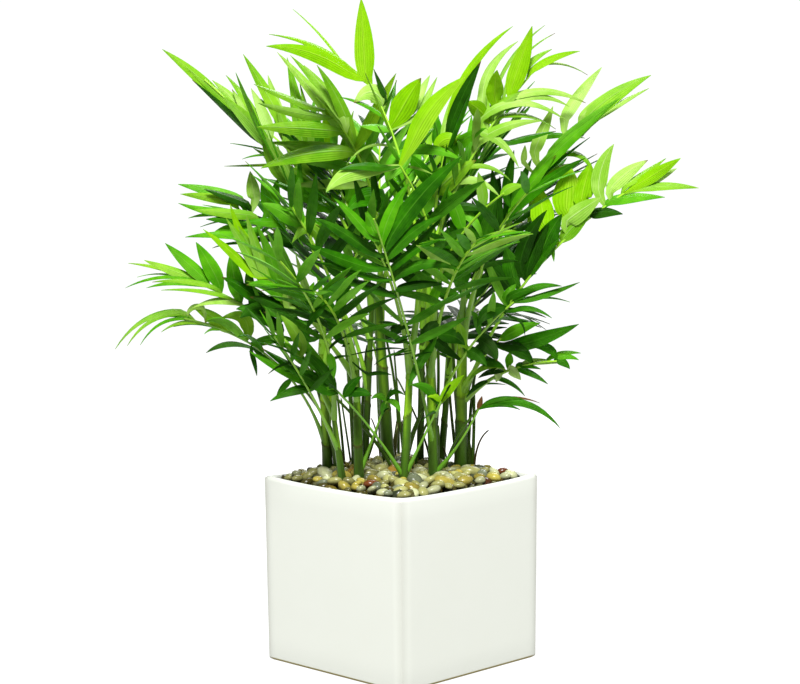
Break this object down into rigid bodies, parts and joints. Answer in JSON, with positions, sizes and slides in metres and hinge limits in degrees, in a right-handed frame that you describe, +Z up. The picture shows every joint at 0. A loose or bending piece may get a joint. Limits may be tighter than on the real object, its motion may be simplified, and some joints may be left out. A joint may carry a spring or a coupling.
{
  "type": "potted parlour palm",
  "caption": "Bushy potted parlour palm: slender green stems and arching feathery fronds in a square white glazed pot topped with pebbles.",
  "frame": {"origin": "middle of the pot's flat underside", "axes": "+Z up; X and Y run square to the sides of the pot, and the corner between +X and -Y is the one that faces the viewer"},
  "size_m": [0.4286, 0.4816, 0.5995],
  "materials": {
    "glazed_ceramic": "off-white gloss glaze",
    "pebbles": "tumbled river pebbles over dark potting mix",
    "stem": "smooth green cane with ring scars",
    "leaf": "thin satin leaf"
  },
  "bodies": {
    "root": {"pot": "glazed_ceramic", "pebbles": "pebbles", "stem_1": "stem", "stem_2": "stem", "stem_3": "stem", "stem_4": "stem", "stem_5": "stem", "stem_6": "stem", "stem_7": "stem", "stem_8": "stem", "stem_9": "stem", "stem_10": "stem", "frond_1": "leaf", "frond_2": "leaf", "frond_3": "leaf", "frond_4": "leaf", "frond_5": "leaf", "frond_6": "leaf", "frond_7": "leaf", "frond_8": "leaf", "frond_9": "leaf", "frond_10": "leaf", "frond_11": "leaf", "frond_12": "leaf", "frond_13": "leaf", "frond_14": "leaf", "frond_15": "leaf", "frond_16": "leaf", "frond_17": "leaf", "frond_18": "leaf", "frond_19": "leaf", "frond_20": "leaf", "frond_21": "leaf", "frond_22": "leaf", "frond_23": "leaf", "frond_24": "leaf", "frond_25": "leaf", "frond_26": "leaf", "frond_27": "leaf", "frond_28": "leaf", "frond_29": "leaf", "frond_30": "leaf", "frond_31": "leaf", "frond_32": "leaf", "frond_33": "leaf", "frond_34": "leaf", "frond_35": "leaf", "frond_36": "leaf", "frond_37": "leaf", "frond_38": "leaf", "frond_39": "leaf", "frond_40": "leaf", "frond_41": "leaf", "frond_42": "leaf", "frond_43": "leaf", "frond_44": "leaf", "frond_45": "leaf"}
  },
  "joints": []
}
